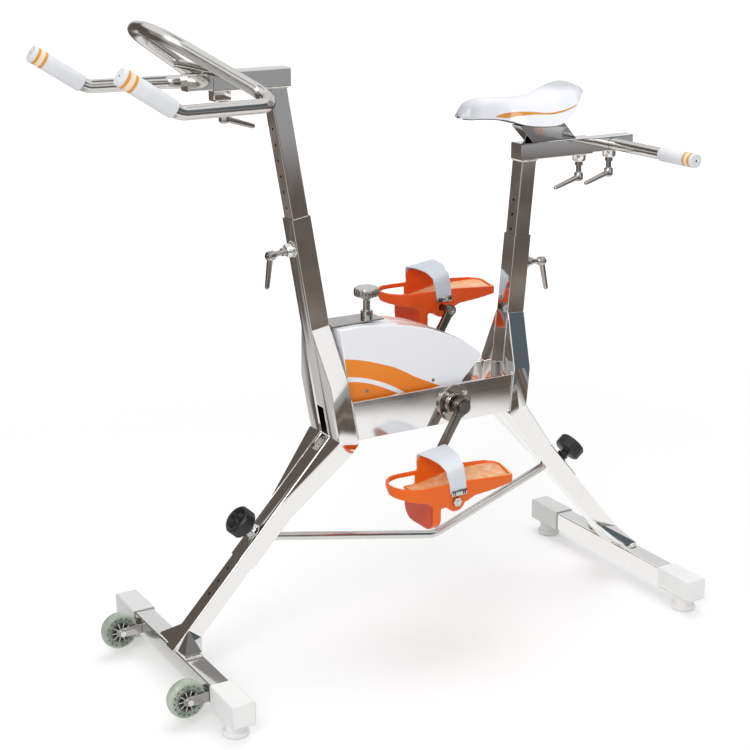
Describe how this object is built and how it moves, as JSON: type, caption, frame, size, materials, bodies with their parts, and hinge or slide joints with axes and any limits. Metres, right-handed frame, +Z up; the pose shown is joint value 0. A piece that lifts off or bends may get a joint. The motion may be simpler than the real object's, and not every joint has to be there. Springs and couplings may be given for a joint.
{
  "type": "aqua bike",
  "caption": "Water exercise cycle with polished steel tube frame, looped handlebar, white saddle, side handle, strapped orange shoe pedals, transport wheels and adjustable legs.",
  "frame": {"origin": "centre of the bounding box footprint, on the floor the four feet stand on", "axes": "+X from the handlebar end to the saddle end, the rider faces -X; +Y to the rider's right; +Z up"},
  "size_m": [1.2336, 0.56, 1.2524],
  "materials": {
    "polished_steel": "mirror polished",
    "chrome": "bright",
    "dark_steel": "polished, dark",
    "white_plastic": "satin white",
    "white_gloss": "gloss white",
    "orange_plastic": "satin orange",
    "black_plastic": "satin black",
    "dark_plastic": "dark grey",
    "wheel_rubber": "clear greenish",
    "strap_rubber": "satin pale grey"
  },
  "bodies": {
    "frame": {"head_sleeve": "polished_steel", "seat_sleeve": "polished_steel", "front_leg_sleeve": "polished_steel", "rear_leg_sleeve": "polished_steel", "front_gusset_left": "polished_steel", "front_gusset_right": "polished_steel", "rear_gusset_left": "polished_steel", "rear_gusset_right": "polished_steel", "side_rail_left": "polished_steel", "side_rail_right": "polished_steel", "tie_tube": "polished_steel", "housing_left": "white_gloss", "housing_right": "white_gloss", "knob_plate": "chrome", "bearing_left": "chrome", "bearing_right": "chrome"},
    "head_stem": {"head_post": "polished_steel", "handlebar_beam": "polished_steel"},
    "handlebar": {"handlebar_slide": "polished_steel", "handlebar_tube": "chrome", "grip_left": "white_plastic", "grip_right": "white_plastic"},
    "seat_stem": {"seat_post": "polished_steel", "seat_rail": "polished_steel", "saddle_bracket": "dark_steel", "saddle_base": "dark_plastic", "saddle_cushion": "white_gloss"},
    "handle_slide": {"rail_slide": "polished_steel"},
    "side_handle": {"handle_tube": "chrome", "handle_grip": "white_plastic"},
    "front_foot": {"front_leg": "polished_steel", "front_bar": "polished_steel", "front_cap_left": "white_plastic", "front_cap_right": "white_plastic", "wheel_fork_left": "chrome", "wheel_fork_right": "chrome"},
    "rear_foot": {"rear_leg": "polished_steel", "rear_bar": "polished_steel", "rear_cap_left": "white_plastic", "rear_cap_right": "white_plastic"},
    "wheel_left": {"tyre_left": "wheel_rubber", "hub_left": "dark_plastic"},
    "wheel_right": {"tyre_right": "wheel_rubber", "hub_right": "dark_plastic"},
    "crank": {"crank_axle": "chrome", "crank_arm_left": "dark_steel", "crank_arm_right": "dark_steel"},
    "left_pedal": {"pedal_left": "orange_plastic", "strap_left": "strap_rubber"},
    "right_pedal": {"pedal_right": "orange_plastic", "strap_right": "strap_rubber"},
    "head_clamp": {"head_lever": "chrome"},
    "seat_clamp": {"seat_lever": "chrome"},
    "rail_clamp": {"seat_rail_lever": "chrome"},
    "handle_clamp": {"handle_lever": "chrome"},
    "handlebar_clamp": {"handlebar_lever": "chrome"},
    "front_leg_knob": {"front_knob": "black_plastic"},
    "rear_leg_knob": {"rear_knob": "black_plastic"},
    "resistance_knob": {"tension_knob": "chrome"}
  },
  "joints": [
    {"name": "handlebar_height", "type": "slide", "parent": "frame", "child": "head_stem", "axis": [-0.1668, 0, 0.986], "range_m": [-0.12, 0.12]},
    {"name": "handlebar_reach", "type": "slide", "parent": "head_stem", "child": "handlebar", "axis": [-1, 0, 0], "range_m": [-0.008, 0.08]},
    {"name": "saddle_height", "type": "slide", "parent": "frame", "child": "seat_stem", "axis": [0.0872, 0, 0.9962], "range_m": [-0.1, 0.11]},
    {"name": "handle_slide_reach", "type": "slide", "parent": "seat_stem", "child": "handle_slide", "axis": [1, 0, 0], "range_m": [-0.004, 0.08]},
    {"name": "side_handle_reach", "type": "slide", "parent": "handle_slide", "child": "side_handle", "axis": [0, -1, 0], "range_m": [-0.12, 0.01]},
    {"name": "front_leg_length", "type": "slide", "parent": "frame", "child": "front_foot", "axis": [-0.6828, 0, -0.7306], "range_m": [-0.08, 0.09]},
    {"name": "rear_leg_length", "type": "slide", "parent": "frame", "child": "rear_foot", "axis": [0.6423, 0, -0.7664], "range_m": [-0.07, 0.07]},
    {"name": "wheel_left_turn", "type": "hinge", "parent": "front_foot", "child": "wheel_left", "pos_m": [-0.5195, -0.164, 0.0525], "axis": [0, 1, 0], "continuous": true},
    {"name": "wheel_right_turn", "type": "hinge", "parent": "front_foot", "child": "wheel_right", "pos_m": [-0.5195, 0.164, 0.0525], "axis": [0, 1, 0], "continuous": true},
    {"name": "crank_turn", "type": "hinge", "parent": "frame", "child": "crank", "pos_m": [0.123, 0, 0.485], "axis": [0, 1, 0], "continuous": true},
    {"name": "left_pedal_turn", "type": "hinge", "parent": "crank", "child": "left_pedal", "pos_m": [0.03673, -0.155, 0.34085], "axis": [0, 1, 0], "continuous": true},
    {"name": "right_pedal_turn", "type": "hinge", "parent": "crank", "child": "right_pedal", "pos_m": [0.20927, 0.172, 0.62915], "axis": [0, 1, 0], "continuous": true},
    {"name": "head_clamp_turn", "type": "hinge", "parent": "frame", "child": "head_clamp", "pos_m": [-0.20001, 0, 0.82268], "axis": [-0.986, 0, -0.1668], "range_deg": [-120, 120]},
    {"name": "seat_clamp_turn", "type": "hinge", "parent": "frame", "child": "seat_clamp", "pos_m": [0.32668, 0, 0.73663], "axis": [0.9962, 0, -0.0872], "range_deg": [-120, 120]},
    {"name": "rail_clamp_turn", "type": "hinge", "parent": "seat_stem", "child": "rail_clamp", "pos_m": [0.461, 0, 0.946], "axis": [0, 0, -1], "range_deg": [0, 100]},
    {"name": "handle_clamp_turn", "type": "hinge", "parent": "handle_slide", "child": "handle_clamp", "pos_m": [0.538, 0, 0.9485], "axis": [0, 0, -1], "range_deg": [0, 100]},
    {"name": "handlebar_clamp_turn", "type": "hinge", "parent": "head_stem", "child": "handlebar_clamp", "pos_m": [-0.332, 0, 1.1075], "axis": [0, 0, -1], "range_deg": [-110, 110]},
    {"name": "front_leg_knob_turn", "type": "hinge", "parent": "frame", "child": "front_leg_knob", "pos_m": [-0.29621, 0, 0.27538], "axis": [-0.7306, 0, 0.6828], "range_deg": [-360, 360]},
    {"name": "rear_leg_knob_turn", "type": "hinge", "parent": "frame", "child": "rear_leg_knob", "pos_m": [0.43571, 0, 0.29053], "axis": [0.7664, 0, 0.6423], "range_deg": [-360, 360]},
    {"name": "resistance_knob_turn", "type": "hinge", "parent": "frame", "child": "resistance_knob", "pos_m": [-0.041, 0, 0.671], "axis": [0, 0, 1], "range_deg": [-720, 720]}
  ]
}
